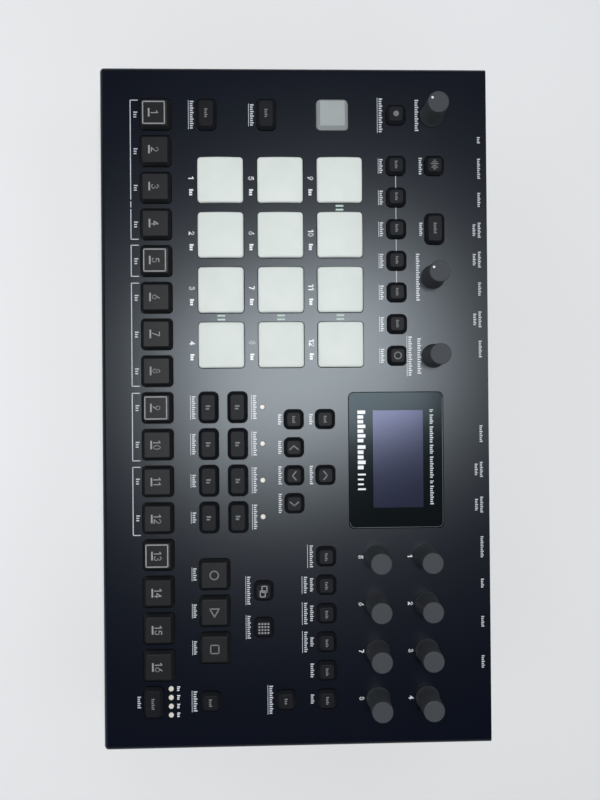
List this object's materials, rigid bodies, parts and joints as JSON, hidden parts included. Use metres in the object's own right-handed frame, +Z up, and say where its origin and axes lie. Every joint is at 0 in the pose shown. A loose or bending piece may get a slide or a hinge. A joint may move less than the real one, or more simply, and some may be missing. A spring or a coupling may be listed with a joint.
{
  "type": "drum machine",
  "caption": "Desktop drum machine: a wedge-shaped steel case with a row of step keys, soft drum pads, turning knobs, a display window and sockets along the rear.",
  "frame": {"origin": "on the table under the middle of the outline", "axes": "+X to the player's right, +Y to the rear with the sockets, +Z up"},
  "size_m": [0.389, 0.2254, 0.0819],
  "materials": {
    "painted_steel": "satin blue-black paint on folded steel",
    "black_steel": "fine black powder coat on steel",
    "foot_rubber": "matt black moulded rubber",
    "black_screw": "black-plated pan-head screw",
    "tinted_window": "smooth clear window, dark behind",
    "screen_glass": "unlit display glass with a violet sheen",
    "circuit_board": "laminate board with solder mask",
    "light_guide": "milky clear light guide",
    "black_nylon": "moulded black nylon",
    "plated_steel": "bright plated sheet",
    "gloss_black": "moulded black rocker, semi-gloss",
    "key_plastic": "dark charcoal moulded key, matt",
    "grey_key_plastic": "pale grey moulded key, matt",
    "pad_silicone": "pale grey silicone rubber, satin",
    "knob_plastic": "turned dark knob with a soft matt face"
  },
  "bodies": {
    "chassis": {"top_cover": "painted_steel", "base_tray": "black_steel", "rear_panel": "black_steel", "rubber_feet": "foot_rubber", "case_screws": "black_screw", "display_window": "tinted_window", "display_module": "screen_glass", "control_board": "circuit_board", "main_board": "circuit_board", "indicator_lights": "light_guide", "jack_sockets": "black_nylon", "midi_sockets": "black_nylon", "usb_socket": "plated_steel", "dc_socket": "black_nylon", "power_switch": "black_nylon"},
    "step_key_01": {"step_key_01": "key_plastic"},
    "step_key_02": {"step_key_02": "key_plastic"},
    "step_key_03": {"step_key_03": "key_plastic"},
    "step_key_04": {"step_key_04": "key_plastic"},
    "step_key_05": {"step_key_05": "key_plastic"},
    "step_key_06": {"step_key_06": "key_plastic"},
    "step_key_07": {"step_key_07": "key_plastic"},
    "step_key_08": {"step_key_08": "key_plastic"},
    "step_key_09": {"step_key_09": "key_plastic"},
    "step_key_10": {"step_key_10": "key_plastic"},
    "step_key_11": {"step_key_11": "key_plastic"},
    "step_key_12": {"step_key_12": "key_plastic"},
    "step_key_13": {"step_key_13": "key_plastic"},
    "step_key_14": {"step_key_14": "key_plastic"},
    "step_key_15": {"step_key_15": "key_plastic"},
    "step_key_16": {"step_key_16": "key_plastic"},
    "bank_key": {"bank_key": "grey_key_plastic"},
    "pad_01": {"pad_01": "pad_silicone"},
    "pad_02": {"pad_02": "pad_silicone"},
    "pad_03": {"pad_03": "pad_silicone"},
    "pad_04": {"pad_04": "pad_silicone"},
    "pad_05": {"pad_05": "pad_silicone"},
    "pad_06": {"pad_06": "pad_silicone"},
    "pad_07": {"pad_07": "pad_silicone"},
    "pad_08": {"pad_08": "pad_silicone"},
    "pad_09": {"pad_09": "pad_silicone"},
    "pad_10": {"pad_10": "pad_silicone"},
    "pad_11": {"pad_11": "pad_silicone"},
    "pad_12": {"pad_12": "pad_silicone"},
    "transport_keys": {"transport_keys": "key_plastic"},
    "scene_keys": {"scene_keys": "key_plastic"},
    "cursor_keys": {"cursor_keys": "key_plastic"},
    "function_keys": {"function_keys": "key_plastic"},
    "volume_knob": {"volume_knob": "knob_plastic"},
    "performance_knob": {"performance_knob": "knob_plastic"},
    "level_knob": {"level_knob": "knob_plastic"},
    "data_knob_01": {"data_knob_01": "knob_plastic"},
    "data_knob_02": {"data_knob_02": "knob_plastic"},
    "data_knob_03": {"data_knob_03": "knob_plastic"},
    "data_knob_04": {"data_knob_04": "knob_plastic"},
    "data_knob_05": {"data_knob_05": "knob_plastic"},
    "data_knob_06": {"data_knob_06": "knob_plastic"},
    "data_knob_07": {"data_knob_07": "knob_plastic"},
    "data_knob_08": {"data_knob_08": "knob_plastic"},
    "power_rocker": {"power_rocker": "gloss_black"}
  },
  "joints": [
    {"name": "step_key_01_press", "type": "slide", "parent": "chassis", "child": "step_key_01", "axis": [0, 0.1219, -0.9925], "range_m": [0, 0.0012], "stiffness_N_per_m": 400, "springref_m": -0.0005},
    {"name": "step_key_02_press", "type": "slide", "parent": "chassis", "child": "step_key_02", "axis": [0, 0.1219, -0.9925], "range_m": [0, 0.0012], "stiffness_N_per_m": 400, "springref_m": -0.0005},
    {"name": "step_key_03_press", "type": "slide", "parent": "chassis", "child": "step_key_03", "axis": [0, 0.1219, -0.9925], "range_m": [0, 0.0012], "stiffness_N_per_m": 400, "springref_m": -0.0005},
    {"name": "step_key_04_press", "type": "slide", "parent": "chassis", "child": "step_key_04", "axis": [0, 0.1219, -0.9925], "range_m": [0, 0.0012], "stiffness_N_per_m": 400, "springref_m": -0.0005},
    {"name": "step_key_05_press", "type": "slide", "parent": "chassis", "child": "step_key_05", "axis": [0, 0.1219, -0.9925], "range_m": [0, 0.0012], "stiffness_N_per_m": 400, "springref_m": -0.0005},
    {"name": "step_key_06_press", "type": "slide", "parent": "chassis", "child": "step_key_06", "axis": [0, 0.1219, -0.9925], "range_m": [0, 0.0012], "stiffness_N_per_m": 400, "springref_m": -0.0005},
    {"name": "step_key_07_press", "type": "slide", "parent": "chassis", "child": "step_key_07", "axis": [0, 0.1219, -0.9925], "range_m": [0, 0.0012], "stiffness_N_per_m": 400, "springref_m": -0.0005},
    {"name": "step_key_08_press", "type": "slide", "parent": "chassis", "child": "step_key_08", "axis": [0, 0.1219, -0.9925], "range_m": [0, 0.0012], "stiffness_N_per_m": 400, "springref_m": -0.0005},
    {"name": "step_key_09_press", "type": "slide", "parent": "chassis", "child": "step_key_09", "axis": [0, 0.1219, -0.9925], "range_m": [0, 0.0012], "stiffness_N_per_m": 400, "springref_m": -0.0005},
    {"name": "step_key_10_press", "type": "slide", "parent": "chassis", "child": "step_key_10", "axis": [0, 0.1219, -0.9925], "range_m": [0, 0.0012], "stiffness_N_per_m": 400, "springref_m": -0.0005},
    {"name": "step_key_11_press", "type": "slide", "parent": "chassis", "child": "step_key_11", "axis": [0, 0.1219, -0.9925], "range_m": [0, 0.0012], "stiffness_N_per_m": 400, "springref_m": -0.0005},
    {"name": "step_key_12_press", "type": "slide", "parent": "chassis", "child": "step_key_12", "axis": [0, 0.1219, -0.9925], "range_m": [0, 0.0012], "stiffness_N_per_m": 400, "springref_m": -0.0005},
    {"name": "step_key_13_press", "type": "slide", "parent": "chassis", "child": "step_key_13", "axis": [0, 0.1219, -0.9925], "range_m": [0, 0.0012], "stiffness_N_per_m": 400, "springref_m": -0.0005},
    {"name": "step_key_14_press", "type": "slide", "parent": "chassis", "child": "step_key_14", "axis": [0, 0.1219, -0.9925], "range_m": [0, 0.0012], "stiffness_N_per_m": 400, "springref_m": -0.0005},
    {"name": "step_key_15_press", "type": "slide", "parent": "chassis", "child": "step_key_15", "axis": [0, 0.1219, -0.9925], "range_m": [0, 0.0012], "stiffness_N_per_m": 400, "springref_m": -0.0005},
    {"name": "step_key_16_press", "type": "slide", "parent": "chassis", "child": "step_key_16", "axis": [0, 0.1219, -0.9925], "range_m": [0, 0.0012], "stiffness_N_per_m": 400, "springref_m": -0.0005},
    {"name": "bank_key_press", "type": "slide", "parent": "chassis", "child": "bank_key", "axis": [0, 0.1219, -0.9925], "range_m": [0, 0.0012], "stiffness_N_per_m": 400, "springref_m": -0.0005},
    {"name": "pad_01_press", "type": "slide", "parent": "chassis", "child": "pad_01", "axis": [0, 0.1219, -0.9925], "range_m": [0, 0.0008], "stiffness_N_per_m": 1500, "springref_m": -0.0003},
    {"name": "pad_02_press", "type": "slide", "parent": "chassis", "child": "pad_02", "axis": [0, 0.1219, -0.9925], "range_m": [0, 0.0008], "stiffness_N_per_m": 1500, "springref_m": -0.0003},
    {"name": "pad_03_press", "type": "slide", "parent": "chassis", "child": "pad_03", "axis": [0, 0.1219, -0.9925], "range_m": [0, 0.0008], "stiffness_N_per_m": 1500, "springref_m": -0.0003},
    {"name": "pad_04_press", "type": "slide", "parent": "chassis", "child": "pad_04", "axis": [0, 0.1219, -0.9925], "range_m": [0, 0.0008], "stiffness_N_per_m": 1500, "springref_m": -0.0003},
    {"name": "pad_05_press", "type": "slide", "parent": "chassis", "child": "pad_05", "axis": [0, 0.1219, -0.9925], "range_m": [0, 0.0008], "stiffness_N_per_m": 1500, "springref_m": -0.0003},
    {"name": "pad_06_press", "type": "slide", "parent": "chassis", "child": "pad_06", "axis": [0, 0.1219, -0.9925], "range_m": [0, 0.0008], "stiffness_N_per_m": 1500, "springref_m": -0.0003},
    {"name": "pad_07_press", "type": "slide", "parent": "chassis", "child": "pad_07", "axis": [0, 0.1219, -0.9925], "range_m": [0, 0.0008], "stiffness_N_per_m": 1500, "springref_m": -0.0003},
    {"name": "pad_08_press", "type": "slide", "parent": "chassis", "child": "pad_08", "axis": [0, 0.1219, -0.9925], "range_m": [0, 0.0008], "stiffness_N_per_m": 1500, "springref_m": -0.0003},
    {"name": "pad_09_press", "type": "slide", "parent": "chassis", "child": "pad_09", "axis": [0, 0.1219, -0.9925], "range_m": [0, 0.0008], "stiffness_N_per_m": 1500, "springref_m": -0.0003},
    {"name": "pad_10_press", "type": "slide", "parent": "chassis", "child": "pad_10", "axis": [0, 0.1219, -0.9925], "range_m": [0, 0.0008], "stiffness_N_per_m": 1500, "springref_m": -0.0003},
    {"name": "pad_11_press", "type": "slide", "parent": "chassis", "child": "pad_11", "axis": [0, 0.1219, -0.9925], "range_m": [0, 0.0008], "stiffness_N_per_m": 1500, "springref_m": -0.0003},
    {"name": "pad_12_press", "type": "slide", "parent": "chassis", "child": "pad_12", "axis": [0, 0.1219, -0.9925], "range_m": [0, 0.0008], "stiffness_N_per_m": 1500, "springref_m": -0.0003},
    {"name": "transport_keys_press", "type": "slide", "parent": "chassis", "child": "transport_keys", "axis": [0, 0.1219, -0.9925], "range_m": [0, 0.0012], "stiffness_N_per_m": 1200, "springref_m": -0.0005},
    {"name": "scene_keys_press", "type": "slide", "parent": "chassis", "child": "scene_keys", "axis": [0, 0.1219, -0.9925], "range_m": [0, 0.0012], "stiffness_N_per_m": 3200, "springref_m": -0.0005},
    {"name": "cursor_keys_press", "type": "slide", "parent": "chassis", "child": "cursor_keys", "axis": [0, 0.1219, -0.9925], "range_m": [0, 0.0012], "stiffness_N_per_m": 2400, "springref_m": -0.0005},
    {"name": "function_keys_press", "type": "slide", "parent": "chassis", "child": "function_keys", "axis": [0, 0.1219, -0.9925], "range_m": [0, 0.0012], "stiffness_N_per_m": 9200, "springref_m": -0.0005},
    {"name": "volume_knob_turn", "type": "hinge", "parent": "chassis", "child": "volume_knob", "pos_m": [-0.1672, 0.07571, 0.06443], "axis": [0, -0.1219, 0.9925], "range_deg": [-300, 0]},
    {"name": "performance_knob_turn", "type": "hinge", "parent": "chassis", "child": "performance_knob", "pos_m": [-0.074, 0.07571, 0.06443], "axis": [0, -0.1219, 0.9925], "range_deg": [-300, 0]},
    {"name": "level_knob_turn", "type": "hinge", "parent": "chassis", "child": "level_knob", "pos_m": [-0.0286, 0.07571, 0.06443], "axis": [0, -0.1219, 0.9925], "continuous": true},
    {"name": "data_knob_01_turn", "type": "hinge", "parent": "chassis", "child": "data_knob_01", "pos_m": [0.0865, 0.07045, 0.06378], "axis": [0, -0.1219, 0.9925], "continuous": true},
    {"name": "data_knob_02_turn", "type": "hinge", "parent": "chassis", "child": "data_knob_02", "pos_m": [0.1135, 0.07045, 0.06378], "axis": [0, -0.1219, 0.9925], "continuous": true},
    {"name": "data_knob_03_turn", "type": "hinge", "parent": "chassis", "child": "data_knob_03", "pos_m": [0.1405, 0.07045, 0.06378], "axis": [0, -0.1219, 0.9925], "continuous": true},
    {"name": "data_knob_04_turn", "type": "hinge", "parent": "chassis", "child": "data_knob_04", "pos_m": [0.1675, 0.07045, 0.06378], "axis": [0, -0.1219, 0.9925], "continuous": true},
    {"name": "data_knob_05_turn", "type": "hinge", "parent": "chassis", "child": "data_knob_05", "pos_m": [0.0865, 0.04226, 0.06032], "axis": [0, -0.1219, 0.9925], "continuous": true},
    {"name": "data_knob_06_turn", "type": "hinge", "parent": "chassis", "child": "data_knob_06", "pos_m": [0.1135, 0.04226, 0.06032], "axis": [0, -0.1219, 0.9925], "continuous": true},
    {"name": "data_knob_07_turn", "type": "hinge", "parent": "chassis", "child": "data_knob_07", "pos_m": [0.1405, 0.04226, 0.06032], "axis": [0, -0.1219, 0.9925], "continuous": true},
    {"name": "data_knob_08_turn", "type": "hinge", "parent": "chassis", "child": "data_knob_08", "pos_m": [0.1675, 0.04226, 0.06032], "axis": [0, -0.1219, 0.9925], "continuous": true},
    {"name": "power_rocker_tilt", "type": "hinge", "parent": "chassis", "child": "power_rocker", "pos_m": [0.1476, 0.10457, 0.024], "axis": [0, 0, 1], "range_deg": [0, 20]}
  ]
}
